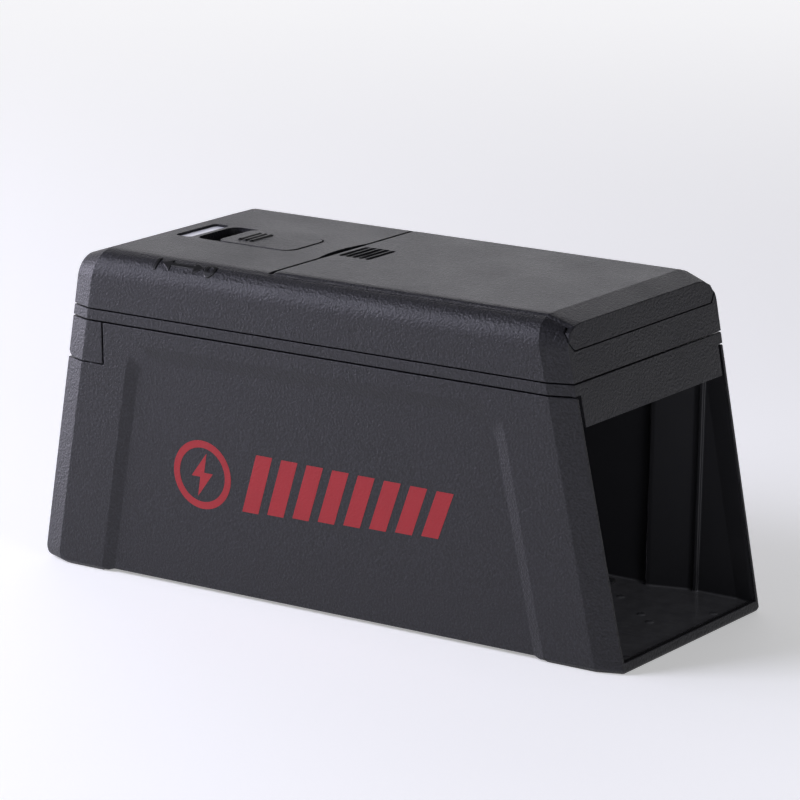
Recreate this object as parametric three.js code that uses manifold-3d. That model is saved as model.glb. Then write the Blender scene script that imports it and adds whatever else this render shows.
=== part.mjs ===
// Electronic rat trap: a tapered tunnel with an open mouth at +X, a hinged upper unit that holds
// the batteries and the circuit, a sliding battery cover and a sliding power switch.
// Millimetres, +Z up. The origin is the middle of the footprint, on the surface it stands on.
import * as THREE from 'three';
import { ConvexGeometry } from 'three/addons/geometries/ConvexGeometry.js';
import { mergeVertices } from 'three/addons/utils/BufferGeometryUtils.js';
import Module from 'manifold-3d';

const wasm = await Module();
wasm.setup();

// ---------------------------------------------------------------- driving dimensions
const BASE_LENGTH = 265.2;      // between the two end planes, at the standing surface
const BASE_HALF_WIDTH = 52.2;   // at the standing surface
const SIDE_FLARE = 0.0257;      // how much each side leans out, per mm of height
const REAR_TAPER = 0.18;        // how much the closed end leans in, per mm of height
const FRONT_TAPER = 0.202;      // how much the mouth end leans in, per mm of height
const REAR_FACET = { length: 9.7, depth: 4.1 };
const FRONT_FACET = { length: 9.8, depth: 3.6 };

const TUB_TOP = 99.3;           // top edge of the lower tub
const BAND_BOTTOM = 99.85;      // the thin band between tub and housing
const BAND_TOP = 103.95;
const HOUSING_BOTTOM = 104.5;
const DECK_TOP = 126.7;         // rear deck of the housing
const COVER_TOP = 127.2;        // battery cover, a little proud of the deck
const SHOULDER_RADIUS = 10.4;
const END_SHOULDER_RADIUS = 7.5;
const END_TOP_DROP = 3.4;       // how far the end chamfers fall from deck level

const WALL = 2.3;
const TUB_WALL = 3.0;
const FLOOR = 2.6;
const LIP_TOP = 4.2;            // small sill across the mouth
const BOTTOM_RADIUS = { rear: 5.6, front: 1.6 };   // rounding under the two ends
const GAP = 0.35;               // between pieces that touch

const RECESS_DEPTH = 1.5;       // sunken side panels
const RECESS_SLOPE = 5.1;
const RECESS_TOP = 92.8;
const RECESS_REAR = 31.1;       // from the end planes to the sunken panel
const RECESS_FRONT = 31.3;
const RECESS_CORNER = 9;

const HINGE = { x: -114.1, z: 86.4, radius: 3.3, pinRadius: 1.4 };
const LEAF_BOTTOM = HINGE.z - HINGE.radius;
const LEAF_FRONT = -98;

const CEILING = 88.4;           // underside of the tray, the roof of the tunnel
const TRAY_FLOOR = 90.4;
const TRAY_TOP = 106;
const TRAY_INSET = 4.8;

const COVER_REAR = -23.6;
const COVER_FLANGE_BOTTOM = 115.5;
const COVER_HALF_WIDTH = 47;
const RAIL_TOP = 124.15;
const RAIL_BOTTOM = 122;
const RAIL_EDGE = 41.2;         // half the clear width between the cover's rails
const RAIL_END = 94;
const SEAM = 1;                 // open joint between the rear deck and the cover
const REAR_EDGE = { length: 1.7, drop: 0.8 };   // eased rear edge of the cover
const NOTCH = { radius: 62, depth: 3.1 };       // finger notch in the deck behind the cover
const GROOVES = { count: 5, first: -19, pitch: 3, halfWidth: 0.95, reach: 9.2, depth: 1.2 };

const POCKET = { rear: -85, front: -39.6, halfWidth: 12.8, floor: 123.4, pad: 1.6 };
const SLIDER = { rear: -75, front: -40.4, top: 126.9 };
const SWITCH_TRAVEL = 9.5;

const BOARD = { rear: -101, front: -32, halfWidth: 37, bottom: 108, top: 109.6 };
const CELL = { radius: 13.1, length: 49.5, y: 14.6, z: 104.3, first: -12.6, pitch: 50 };
const CLEAR = 12;               // how far cutting tools run past what they cut

// ---------------------------------------------------------------- shape helpers
const point = (x, y, z) => new THREE.Vector3(x, y, z);

function solid(geometry) {
  const bare = geometry.clone();
  bare.deleteAttribute('normal');
  bare.deleteAttribute('uv');
  const merged = mergeVertices(bare, 1e-4);
  return new wasm.Manifold(new wasm.Mesh({
    numProp: 3,
    vertProperties: Float32Array.from(merged.attributes.position.array),
    triVerts: Uint32Array.from(merged.index.array),
  }));
}

const hull = (points) => solid(new ConvexGeometry(points));

function block(x0, x1, y0, y1, z0, z1) {
  const box = new THREE.BoxGeometry(x1 - x0, y1 - y0, z1 - z0);
  return solid(box.translate((x0 + x1) / 2, (y0 + y1) / 2, (z0 + z1) / 2));
}

// a round bar between two points, with an optional second radius at its far end
function rod(from, to, radius, endRadius = radius, sides = 20) {
  const along = to.clone().sub(from);
  const bar = new THREE.CylinderGeometry(endRadius, radius, along.length(), sides);
  bar.applyQuaternion(new THREE.Quaternion().setFromUnitVectors(point(0, 1, 0), along.clone().normalize()));
  const middle = from.clone().add(to).multiplyScalar(0.5);
  return solid(bar.translate(middle.x, middle.y, middle.z));
}

// an outline in X and Y, pushed up from z0 to z1
function plate(shape, z0, z1, curveSegments = 8) {
  const body = new THREE.ExtrudeGeometry(shape, { depth: z1 - z0, bevelEnabled: false, curveSegments });
  return solid(body.translate(0, 0, z0));
}

function roundedRectangle(x0, x1, y0, y1, rearRadius, frontRadius = rearRadius) {
  const outline = new THREE.Shape();
  outline.moveTo(x0 + rearRadius, y0);
  outline.lineTo(x1 - frontRadius, y0);
  outline.absarc(x1 - frontRadius, y0 + frontRadius, frontRadius, -Math.PI / 2, 0);
  outline.absarc(x1 - frontRadius, y1 - frontRadius, frontRadius, 0, Math.PI / 2);
  outline.absarc(x0 + rearRadius, y1 - rearRadius, rearRadius, Math.PI / 2, Math.PI);
  outline.absarc(x0 + rearRadius, y0 + rearRadius, rearRadius, Math.PI, Math.PI * 1.5);
  return outline;
}

const join = (...pieces) => pieces.reduce((whole, piece) => whole.add(piece));
const cut = (body, ...tools) => tools.reduce((rest, tool) => rest.subtract(tool), body);
const mirrorY = (body) => body.mirror([0, 1, 0]);
const bothSides = (body) => body.add(mirrorY(body));

// ---------------------------------------------------------------- the tapered outer form
const halfWidth = (z) => BASE_HALF_WIDTH + SIDE_FLARE * z;
const rearX = (z, back = 0) => -BASE_LENGTH / 2 + REAR_TAPER * z + back;
const frontX = (z, back = 0) => BASE_LENGTH / 2 - FRONT_TAPER * z - back;

// the two corners of an end facet, as [distance in from the end, distance in from the side],
// after the whole surface has moved inwards by inset
function facetCorners(facet, inset) {
  const slope = facet.depth / facet.length;
  const shift = facet.depth + inset * Math.hypot(1, slope);
  return [[inset, shift - slope * inset], [(shift - inset) / slope, inset]];
}

// straight-sided part of the form between two heights
function taperedBlock(z0, z1, inset = 0, ends = {}) {
  const points = [];
  for (const z of [z0, z1]) {
    for (const [back, side] of ends.rear ?? facetCorners(REAR_FACET, inset)) {
      points.push(point(rearX(z, back), halfWidth(z) - side, z));
      points.push(point(rearX(z, back), side - halfWidth(z), z));
    }
    for (const [back, side] of ends.front ?? facetCorners(FRONT_FACET, inset)) {
      points.push(point(frontX(z, back), halfWidth(z) - side, z));
      points.push(point(frontX(z, back), side - halfWidth(z), z));
    }
  }
  return hull(points);
}

// lowest part of the form: rounded under at both ends and eased along the sides
function roundedBottom(z1) {
  const points = [];
  const ease = BOTTOM_RADIUS.front;
  const steps = 8;
  const ends = [
    { at: rearX, corners: facetCorners(REAR_FACET, 0), radius: BOTTOM_RADIUS.rear },
    { at: frontX, corners: facetCorners(FRONT_FACET, 0), radius: BOTTOM_RADIUS.front },
  ];
  for (const { at, corners, radius } of ends) {
    for (const [back, inwards] of corners) {
      const levels = [[z1, 0]];
      for (let i = 0; i <= steps; i += 1) {
        const angle = (Math.PI / 2) * (i / steps);
        levels.push([radius * (1 - Math.cos(angle)), radius * (1 - Math.sin(angle))]);
      }
      for (const [z, under] of levels) {
        const y = halfWidth(z) - inwards - Math.max(0, ease - z);
        points.push(point(at(z, back + under), y, z));
        points.push(point(at(z, back + under), -y, z));
      }
    }
  }
  return hull(points);
}

// half of a cross-section with a round shoulder, as [y, z], from z0 up to the top
function shoulder(z0, top, side, radius) {
  const centreZ = top - radius;
  const centreY = halfWidth(centreZ) - side - radius;
  const outline = [[halfWidth(z0) - side, z0]];
  const steps = 7;
  for (let i = 0; i <= steps; i += 1) {
    const angle = (Math.PI / 2) * (i / steps);
    outline.push([centreY + radius * Math.cos(angle), centreZ + radius * Math.sin(angle)]);
  }
  return outline;
}

// the upper form with round shoulders, and chamfers that wrap round both ends
function shoulderedBlock(z0, top, inset) {
  const points = [];
  const ends = [
    { at: rearX, corners: facetCorners(REAR_FACET, inset) },
    { at: frontX, corners: facetCorners(FRONT_FACET, inset) },
  ];
  for (const { at, corners } of ends) {
    const [outer, full] = corners;
    const endOutline = shoulder(z0, top - inset - END_TOP_DROP, outer[1], END_SHOULDER_RADIUS - inset);
    const fullOutline = shoulder(z0, top - inset, full[1], SHOULDER_RADIUS - inset);
    for (const sign of [-1, 1]) {
      for (const [y, z] of endOutline) points.push(point(at(z, outer[0]), sign * y, z));
      for (const [y, z] of fullOutline) points.push(point(at(z, full[0]), sign * y, z));
    }
  }
  return hull(points);
}

// ---------------------------------------------------------------- lower tub
function recessOutline(grow, depth) {
  const rear = (z) => rearX(z, RECESS_REAR - grow);
  const front = (z) => frontX(z, RECESS_FRONT - grow);
  const top = RECESS_TOP + grow;
  const radius = RECESS_CORNER;
  const outline = [[rear(-CLEAR), -CLEAR], [front(-CLEAR), -CLEAR]];
  const steps = 8;
  for (let i = 0; i <= steps; i += 1) {
    const angle = (Math.PI / 2) * (i / steps);
    const z = top - radius + radius * Math.sin(angle);
    const inwards = radius * (1 - Math.cos(angle));
    outline.push([rear(z) + inwards, z]);
    outline.push([front(z) - inwards, z]);
  }
  return outline.map(([x, z]) => point(x, depth - halfWidth(z), z));
}

function sideRecess() {
  const overshoot = 0.5;
  const outer = recessOutline((RECESS_SLOPE * overshoot) / RECESS_DEPTH, -overshoot);
  const inner = recessOutline(-RECESS_SLOPE, RECESS_DEPTH);
  return hull([...outer, ...inner]);
}

const NARROW_INSET = 4.2;       // tunnel walls behind the sunken panels
const MOUTH_INSET = 5.4;        // tunnel walls at the mouth plane
const SILL_LENGTH = 2.2;        // how far the sill reaches in from the mouth plane

function tunnelSpace() {
  const top = TUB_TOP + CLEAR;
  const inset = (back) => MOUTH_INSET - (back / FRONT_FACET.length) * (MOUTH_INSET - TUB_WALL);
  const atFacet = [FRONT_FACET.length, TUB_WALL];
  const atSill = [SILL_LENGTH, inset(SILL_LENGTH)];
  const atMouth = [0, MOUTH_INSET];
  const farBack = [[BASE_LENGTH - CLEAR, MOUTH_INSET]];
  const main = taperedBlock(FLOOR, top, TUB_WALL, { front: [atFacet, atSill] });
  const mouth = taperedBlock(LIP_TOP, top, 0, { rear: farBack, front: [atSill, atMouth] });
  const outside = taperedBlock(LIP_TOP, top, 0, { rear: farBack, front: [atMouth, [-CLEAR, MOUTH_INSET]] });
  return cut(join(cut(main, narrowWalls()), mouth, outside), entranceRibs(), funnelPanels());
}

// the middle of each tunnel wall stands further in, because the outside is sunken there
function narrowWalls() {
  const points = [];
  for (const z of [FLOOR - 1, TUB_TOP + CLEAR]) {
    for (const side of [NARROW_INSET, -CLEAR]) {
      points.push(point(rearX(z, 34), side - halfWidth(z), z));
      points.push(point(FUNNEL.rear + 1.4, side - halfWidth(z), z));
    }
  }
  return bothSides(hull(points));
}

// a thin upright rib on each tunnel wall, just inside the mouth
function entranceRibs() {
  const points = [];
  for (const z of [FLOOR - 1, CEILING - 2]) {
    for (const x of [103.6, 105.2]) {
      points.push(point(x, TUB_WALL + 1.3 - halfWidth(z), z));
      points.push(point(x, -CLEAR - halfWidth(z), z));
    }
  }
  return bothSides(hull(points));
}

// slanted wall panels that narrow the tunnel behind the mouth
const FUNNEL = { rear: 82.6, front: 101.5, height: 4 };

function funnelPanels() {
  const points = [];
  for (const z of [FLOOR - 1, CEILING - 2]) {
    const wall = TUB_WALL - halfWidth(z);
    points.push(point(FUNNEL.front, wall - 0.2, z));
    points.push(point(FUNNEL.rear + 3.6, wall + FUNNEL.height, z));
    points.push(point(FUNNEL.rear + 1.8, wall + FUNNEL.height, z));
    points.push(point(FUNNEL.rear, wall - 0.2, z));
    points.push(point(FUNNEL.rear, wall - CLEAR, z));
    points.push(point(FUNNEL.front, wall - CLEAR, z));
  }
  return bothSides(hull(points));
}

// air slots in the closed end, so that a lure can be smelled from outside
const VENT = { count: 7, pitch: 9, halfWidth: 1.5, bottom: 26, top: 60, fall: 2 };

function ventSlots() {
  const slots = [];
  const last = (VENT.count - 1) / 2;
  for (let i = -last; i <= last; i += 1) {
    const slot = new THREE.Shape();
    slot.absarc(0, VENT.bottom, VENT.halfWidth, Math.PI, Math.PI * 2);
    slot.absarc(0, VENT.top - VENT.fall * Math.abs(i), VENT.halfWidth, 0, Math.PI);
    const tool = new THREE.ExtrudeGeometry(slot, { depth: 40, bevelEnabled: false, curveSegments: 5 });
    tool.rotateX(Math.PI / 2);
    tool.rotateZ(Math.PI / 2);
    slots.push(solid(tool.translate(rearX(0) - CLEAR, i * VENT.pitch, 0)));
  }
  return join(...slots);
}

// the window in the tub's top rear edge that the hinge leaf fills
const leafWindow = () => block(-160, LEAF_FRONT + 0.65, -70, 70, LEAF_BOTTOM - 0.4, TUB_TOP + CLEAR);

// raised margin of the underside between the feet, along one side
function sideUndercut() {
  const rise = 1.35;
  const outline = [
    [rearX(0, RECESS_REAR), -0.1], [rearX(0, RECESS_REAR + RECESS_SLOPE), rise],
    [frontX(0, RECESS_FRONT + RECESS_SLOPE), rise], [frontX(0, RECESS_FRONT), -0.1],
    [frontX(0, RECESS_FRONT), -1], [rearX(0, RECESS_REAR), -1],
  ];
  return hull(outline.flatMap(([x, z]) => [point(x, -70, z), point(x, -42, z)]));
}

// small round studs on the tunnel floor, between the front plate and the mouth
const STUDS = [[85.1, 26.5], [103.3, 11.6], [110.7, 5.1], [124.7, 28], [126.4, -37.2]];
const floorStuds = () => STUDS.map((at) => upright(at, FLOOR - 0.5, FLOOR + 0.6, 1.5, 12));

const EAR = { inner: 43.6, outer: 46.6, foot: 70, radius: 2.8 };

function hingeEars() {
  const ear = hull([
    point(rearX(EAR.foot, WALL - 1), EAR.inner, EAR.foot),
    point(rearX(EAR.foot, WALL - 1), EAR.outer, EAR.foot),
    point(rearX(EAR.foot, WALL + 0.8), EAR.inner, EAR.foot),
    point(rearX(EAR.foot, WALL + 0.8), EAR.outer, EAR.foot),
    ...[EAR.inner, EAR.outer].flatMap((y) => [
      point(rearX(LEAF_BOTTOM - 1, 0.3), y, LEAF_BOTTOM - 1),
      point(HINGE.x + EAR.radius + 1.4, y, LEAF_BOTTOM - 1),
    ]),
  ]);
  const eye = rod(point(HINGE.x, EAR.inner, HINGE.z), point(HINGE.x, EAR.outer, HINGE.z), EAR.radius);
  const neck = block(HINGE.x - 2.6, HINGE.x + EAR.radius, EAR.inner, EAR.outer, LEAF_BOTTOM - 2, HINGE.z);
  const hole = rod(point(HINGE.x, EAR.inner - 2, HINGE.z), point(HINGE.x, EAR.outer + 2, HINGE.z),
    HINGE.pinRadius + GAP);
  return bothSides(cut(join(ear, eye, neck), hole));
}

function tub() {
  const meet = 20;
  const outside = join(roundedBottom(meet), taperedBlock(meet, TUB_TOP)).intersect(taperedBlock(-1, TUB_TOP));
  const recess = sideRecess();
  const underCut = block(rearX(0, RECESS_REAR), frontX(0, RECESS_FRONT), -70, 70, -1, 0.6);
  const sunken = join(bothSides(recess), underCut, bothSides(sideUndercut()));
  const shell = cut(outside, sunken, tunnelSpace(), leafWindow(), ventSlots());
  return cut(join(shell, hingeEars(), ...floorStuds()), ...plateScrewPlaces().map((at) => screwHole(at)));
}

// ---------------------------------------------------------------- kill plates and what holds them
const PLATES = { halfWidth: 43, thickness: 0.8, bottom: FLOOR + GAP };
const PLATE_SPANS = { kill_plate_rear: [-101, -50], kill_plate_middle: [-45, 9], kill_plate_front: [14, 74] };
const PLATE_TOP = PLATES.bottom + PLATES.thickness;
const PLATE_SCREW = { headRadius: 2.6, headHeight: 1.1, shankRadius: 1.1, hole: 1.45, depth: 1.9 };

function plateScrewPlaces() {
  return Object.values(PLATE_SPANS).flatMap(([rear, front]) => [
    point(rear + 7, -36, 0),
    point(front - 7, 36, 0),
  ]);
}

const screwHole = (at) => rod(
  point(at.x, at.y, PLATES.bottom - PLATE_SCREW.depth - GAP),
  point(at.x, at.y, PLATE_TOP + 1),
  PLATE_SCREW.hole, PLATE_SCREW.hole, 12,
);

function killPlate([rear, front]) {
  const outline = roundedRectangle(rear, front, -PLATES.halfWidth, PLATES.halfWidth, 3);
  const body = plate(outline, PLATES.bottom, PLATE_TOP, 4);
  const holes = plateScrewPlaces().filter((at) => at.x > rear && at.x < front).map(screwHole);
  return cut(body, ...holes);
}

function panHeadScrew(at, up, headRadius, headHeight, shankRadius, length) {
  const profile = [
    [0, headHeight], [headRadius * 0.62, headHeight], [headRadius, headHeight * 0.45], [headRadius, 0],
    [shankRadius, 0], [shankRadius, -length + shankRadius], [0, -length],
  ].map(([r, y]) => new THREE.Vector2(r, y)).reverse();
  const screw = new THREE.LatheGeometry(profile, 10);
  screw.applyQuaternion(new THREE.Quaternion().setFromUnitVectors(point(0, 1, 0), up));
  const turned = solid(screw.translate(at.x, at.y, at.z));
  const across = block(-headRadius * 0.7, headRadius * 0.7, -0.35, 0.35, headHeight * 0.4, headHeight + 1);
  const slot = across.add(across.rotate([0, 0, 90]));
  const tilt = new THREE.Quaternion().setFromUnitVectors(point(0, 0, 1), up);
  const turn = new THREE.Euler().setFromQuaternion(tilt, 'ZYX');
  const degrees = [turn.x, turn.y, turn.z].map(THREE.MathUtils.radToDeg);
  return cut(turned, slot.rotate(degrees).translate([at.x, at.y, at.z]));
}

function plateScrew(at) {
  const seat = point(at.x, at.y, PLATE_TOP + 0.1);
  return panHeadScrew(seat, point(0, 0, 1), PLATE_SCREW.headRadius, PLATE_SCREW.headHeight,
    PLATE_SCREW.shankRadius, PLATE_SCREW.depth + PLATES.thickness - 0.2);
}

// brass strip from the floor up the tunnel wall, with its top bent in below the spring contact
const RISER = { rear: -94.8, front: -89.8, top: 81.8 };
function contactRiser() {
  const face = (z) => NARROW_INSET + GAP - halfWidth(z);
  const upright = hull([FLOOR + GAP + 0.1, RISER.top].flatMap((z) => [
    point(RISER.rear, face(z), z),
    point(RISER.front, face(z), z),
    point(RISER.rear, face(z) + 0.8, z),
    point(RISER.front, face(z) + 0.8, z),
  ]));
  const top = block(RISER.rear, RISER.front, face(RISER.top), -43.2, RISER.top - 0.8, RISER.top);
  const foot = block(RISER.rear, RISER.front, face(FLOOR) + 0.4, -43.7, FLOOR + GAP + 0.1, FLOOR + GAP + 0.9);
  return join(upright, top, foot);
}

const BAIT = { x: -111.5, radius: 11, height: 13, wall: 1.4 };
function baitCup() {
  const bottom = FLOOR + GAP;
  const profile = [
    [0, bottom], [BAIT.radius - 2, bottom], [BAIT.radius, bottom + BAIT.height],
    [BAIT.radius - BAIT.wall, bottom + BAIT.height], [BAIT.radius - 2 - BAIT.wall, bottom + BAIT.wall],
    [0, bottom + BAIT.wall],
  ].map(([r, y]) => new THREE.Vector2(r, y));
  const cup = new THREE.LatheGeometry(profile, 28);
  cup.rotateX(Math.PI / 2);
  return solid(cup.translate(BAIT.x, 0, 0));
}

// ---------------------------------------------------------------- hinge
const hingePin = () => rod(
  point(HINGE.x, 0.8 - EAR.inner, HINGE.z),
  point(HINGE.x, -50.1, HINGE.z),
  HINGE.pinRadius, HINGE.pinRadius, 16,
);

const KNUCKLE = 42.6;           // half length of the leaf's knuckle, between the ears
const LEAF_SCREW = { y: 30, z: 94.3, head: 2.7, headHeight: 1.1, shank: 1.2, length: 10 };

function hingeLeaf() {
  const ring = cut(
    taperedBlock(LEAF_BOTTOM, TUB_TOP),
    taperedBlock(LEAF_BOTTOM - 1, TUB_TOP + 1, WALL),
    block(LEAF_FRONT, 200, -70, 70, 0, 200),
  );
  const roundedEdge = join(
    rod(point(HINGE.x, -60, HINGE.z), point(HINGE.x, 60, HINGE.z), HINGE.radius, HINGE.radius, 40),
    block(-160, 0, -70, 70, HINGE.z, 200),
    block(HINGE.x, 0, -70, 70, 0, 200),
  );
  const knuckle = join(
    rod(point(HINGE.x, -KNUCKLE, HINGE.z), point(HINGE.x, KNUCKLE, HINGE.z), HINGE.radius - 0.6),
    block(rearX(HINGE.z, 0.6), HINGE.x, -KNUCKLE, KNUCKLE, HINGE.z - 0.5, HINGE.z + 3.5),
  );
  const boss = rod(point(HINGE.x, -47.2, HINGE.z), point(HINGE.x, -50.6, HINGE.z), 2.6);
  const pinRadius = HINGE.pinRadius + 0.15;
  const pinHole = rod(point(HINGE.x, -40, HINGE.z), point(HINGE.x, -50.4, HINGE.z), pinRadius, pinRadius, 16);
  const earTop = HINGE.z + EAR.radius + 0.6;
  const earRoom = block(-125, -100, EAR.inner - 0.4, EAR.outer + 0.4, LEAF_BOTTOM - 2, earTop);
  const body = join(ring, knuckle, bothSides(boss)).intersect(roundedEdge).intersect(taperedBlock(0, TUB_TOP));
  return cut(body, pinHole, mirrorY(pinHole), bothSides(earRoom), leafScrewWay(-1), leafScrewWay(1));
}

// countersunk hole for a leaf screw, from behind
function leafScrewWay(side) {
  const face = rearX(LEAF_SCREW.z);
  const at = (x) => point(x, side * LEAF_SCREW.y, LEAF_SCREW.z);
  const shank = LEAF_SCREW.shank + 0.35;
  const seat = rod(at(face - 5), at(face + 1.3), LEAF_SCREW.head + 0.4);
  return seat.add(rod(at(face - 5), at(face + 9), shank, shank, 12));
}

function leafScrew(side) {
  const seat = point(rearX(LEAF_SCREW.z) + 1.3, side * LEAF_SCREW.y, LEAF_SCREW.z);
  const { head, headHeight, shank, length } = LEAF_SCREW;
  return panHeadScrew(seat, point(-1, 0, 0), head, headHeight, shank, length);
}

// ---------------------------------------------------------------- middle frame: band, tray and lintel
const TRAY_REAR = 8;            // how far the tray stands off the closed end
const TRAY_WALL = 2;
const HOUSING_SCREWS = [[-98, -43], [-98, 43], [93, -44], [93, 44]];
const POST_RADIUS = 3.4;
const DIVIDER = { rear: -24.8, front: -22.8 };  // wall between the circuit and the batteries

// part of the tray's form: its sides stand in from the outer form, and close in a little at the mouth
function trayBlock(z0, z1, inset, rearBack, frontBack) {
  return taperedBlock(z0, z1, 0, {
    rear: [[rearBack, inset]],
    front: [[FRONT_FACET.length, inset], [frontBack, inset + 1]],
  });
}

// an upright round post or hole at a place in the plan
const upright = ([x, y], z0, z1, radius, sides = 20) => (
  rod(point(x, y, z0), point(x, y, z1), radius, radius, sides)
);

// two ribs across the tray with a bed for each row of cells
function cellCradles() {
  const ribs = [8, 62].map((x) => block(x, x + 2.4, -30, 30, TRAY_FLOOR - 0.5, 99));
  const radius = CELL.radius + 0.5;
  const bed = (y) => rod(point(-40, y, CELL.z), point(110, y, CELL.z), radius, radius, 28);
  return cut(join(...ribs), bed(-CELL.y), bed(CELL.y));
}

// a post behind the closed end that takes a leaf screw, and the hole in it
function leafPost(side, radius, near, far) {
  const at = (back) => point(rearX(LEAF_SCREW.z, back), side * LEAF_SCREW.y, LEAF_SCREW.z);
  return rod(at(near), at(far), radius, radius, 14);
}

function middleFrame() {
  const band = taperedBlock(BAND_BOTTOM, BAND_TOP);
  const tray = trayBlock(CEILING, TRAY_TOP, TRAY_INSET, TRAY_REAR, 2.6);
  const lintel = trayBlock(CEILING, BAND_TOP, MOUTH_INSET + 0.4, 200, 0);
  const hollow = trayBlock(TRAY_FLOOR, TRAY_TOP + CLEAR, TRAY_INSET + TRAY_WALL, TRAY_REAR + TRAY_WALL, 5);
  const rimCut = block(86, 200, -70, 70, BAND_TOP, 200);
  const shell = cut(join(band, cut(tray, rimCut), lintel), hollow);
  const divider = block(DIVIDER.rear, DIVIDER.front, -50, 50, TRAY_FLOOR - 0.5, TRAY_TOP).intersect(tray);
  const fitted = join(
    shell, divider, cellCradles(),
    ...HOUSING_SCREWS.map((at) => upright(at, TRAY_FLOOR - 1, BAND_TOP, POST_RADIUS)),
    ...HOUSING_SCREWS.map((at) => upright(at, CEILING + 0.4, TRAY_FLOOR + 2, POST_RADIUS + 1.4)),
    ...BOARD_SCREWS.map((at) => upright(at, TRAY_FLOOR - 1, BOARD.bottom - GAP, 3)),
    ...[-1, 1].map((side) => leafPost(side, 3.2, WALL + GAP + 0.3, TRAY_REAR + 1)),
  );
  const contactWay = block(
    SPRING.rear - 0.5, SPRING.front + 0.5, SPRING.y - 0.5, SPRING.y + 1.3, CEILING - 2, TRAY_FLOOR + 2,
  );
  return cut(
    fitted, bothSides(contactWay),
    ...HOUSING_SCREWS.map((at) => upright(at, CEILING - 1, CEILING + 2.6, 3, 16)),
    ...HOUSING_SCREWS.map((at) => upright(at, CEILING - 1, TRAY_TOP + 1, 1.6, 12)),
    ...BOARD_SCREWS.map((at) => upright(at, BOARD.bottom - 9, BOARD.bottom + 1, 1.4, 12)),
    ...[-1, 1].map((side) => leafPost(side, 1.55, 0, TRAY_REAR + 6)),
  );
}

// ---------------------------------------------------------------- upper housing
// the opening for the battery cover, with a finger notch behind it and the way in for the cells
function coverOpening() {
  const side = COVER_HALF_WIDTH + GAP;
  const span = block(COVER_REAR - SEAM, 200, -side, side, RAIL_TOP, 200);
  const thumb = new THREE.CylinderGeometry(NOTCH.radius, NOTCH.radius, 20, 180);
  thumb.rotateX(Math.PI / 2);
  const notch = solid(thumb.translate(COVER_REAR - NOTCH.depth + NOTCH.radius, 0, RAIL_TOP + 10));
  const notchWay = notch.intersect(block(-60, 0, -30, 30, 100, 200));
  const cellWay = block(-19.5, 200, -RAIL_EDGE, RAIL_EDGE, COVER_FLANGE_BOTTOM - GAP, 200);
  const slopeWay = block(RAIL_END, 200, -side, side, COVER_FLANGE_BOTTOM + 3.4, 200);
  return join(span, notchWay, cellWay, slopeWay, flangeBlock(GAP, -CLEAR, 2.6));
}

// front flange of the cover: an outline with pointed ends, between two depths behind the mouth plane
function flangeBlock(grow, outer, inner) {
  const outline = [
    [47.3 + grow * 1.5, COVER_FLANGE_BOTTOM - grow],
    [50.5 + grow * 1.4, 118.9],
    [48.9 + grow * 2, 121.8 + grow],
    [45.2 + grow, 123.7 + grow * 3],
    [41, 124.25 + grow * 3],
  ];
  const points = [];
  for (const [y, z] of outline) {
    for (const back of [outer, inner]) {
      points.push(point(frontX(z, back), y, z));
      points.push(point(frontX(z, back), -y, z));
    }
  }
  return hull(points);
}

const KNOB = { x: -65.4, ridges: 3, pitch: 2.7, radius: 1.25, reach: 6.4, top: 127.6 };
const WINDOW = { rear: -94.6, front: -87.2, halfWidth: 13, corner: 2, lensTop: 125.8 };

const pocketOutline = () => (
  roundedRectangle(POCKET.rear, POCKET.front, -POCKET.halfWidth, POCKET.halfWidth, 4.4, 5.4)
);

function windowOutline(inset) {
  const halfWidth = WINDOW.halfWidth - inset;
  return roundedRectangle(
    WINDOW.rear + inset, WINDOW.front - inset, -halfWidth, halfWidth, Math.max(0.6, WINDOW.corner - inset),
  );
}

// everything that stands inside the housing shell
function housingFittings() {
  const rails = bothSides(block(-24, RAIL_END, -50, -RAIL_EDGE, RAIL_BOTTOM, RAIL_TOP));
  const crossRail = block(-28, -19.5, -44, 44, RAIL_BOTTOM, RAIL_TOP);
  const divider = block(DIVIDER.rear, DIVIDER.front, -52, 52, TRAY_TOP + 0.4, RAIL_TOP);
  const rim = 2.5;
  const pocketSide = POCKET.halfWidth + rim;
  const pocketPad = block(
    POCKET.rear - rim, POCKET.front + rim, -pocketSide, pocketSide, POCKET.floor - POCKET.pad, DECK_TOP - 1,
  );
  const windowSide = WINDOW.halfWidth + rim - 0.5;
  const windowPad = block(
    WINDOW.rear - 2, WINDOW.front + 2, -windowSide, windowSide, WINDOW.lensTop - 3.1, DECK_TOP - 1,
  );
  const gussets = bothSides(block(RAIL_END - 2, RAIL_END, -54, -44, HOUSING_BOTTOM, 117));
  const posts = HOUSING_SCREWS.map((at) => upright(at, HOUSING_BOTTOM, at[0] > 0 ? 117 : 124, POST_RADIUS));
  return join(rails, crossRail, divider, pocketPad, windowPad, gussets, ...posts);
}

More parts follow.
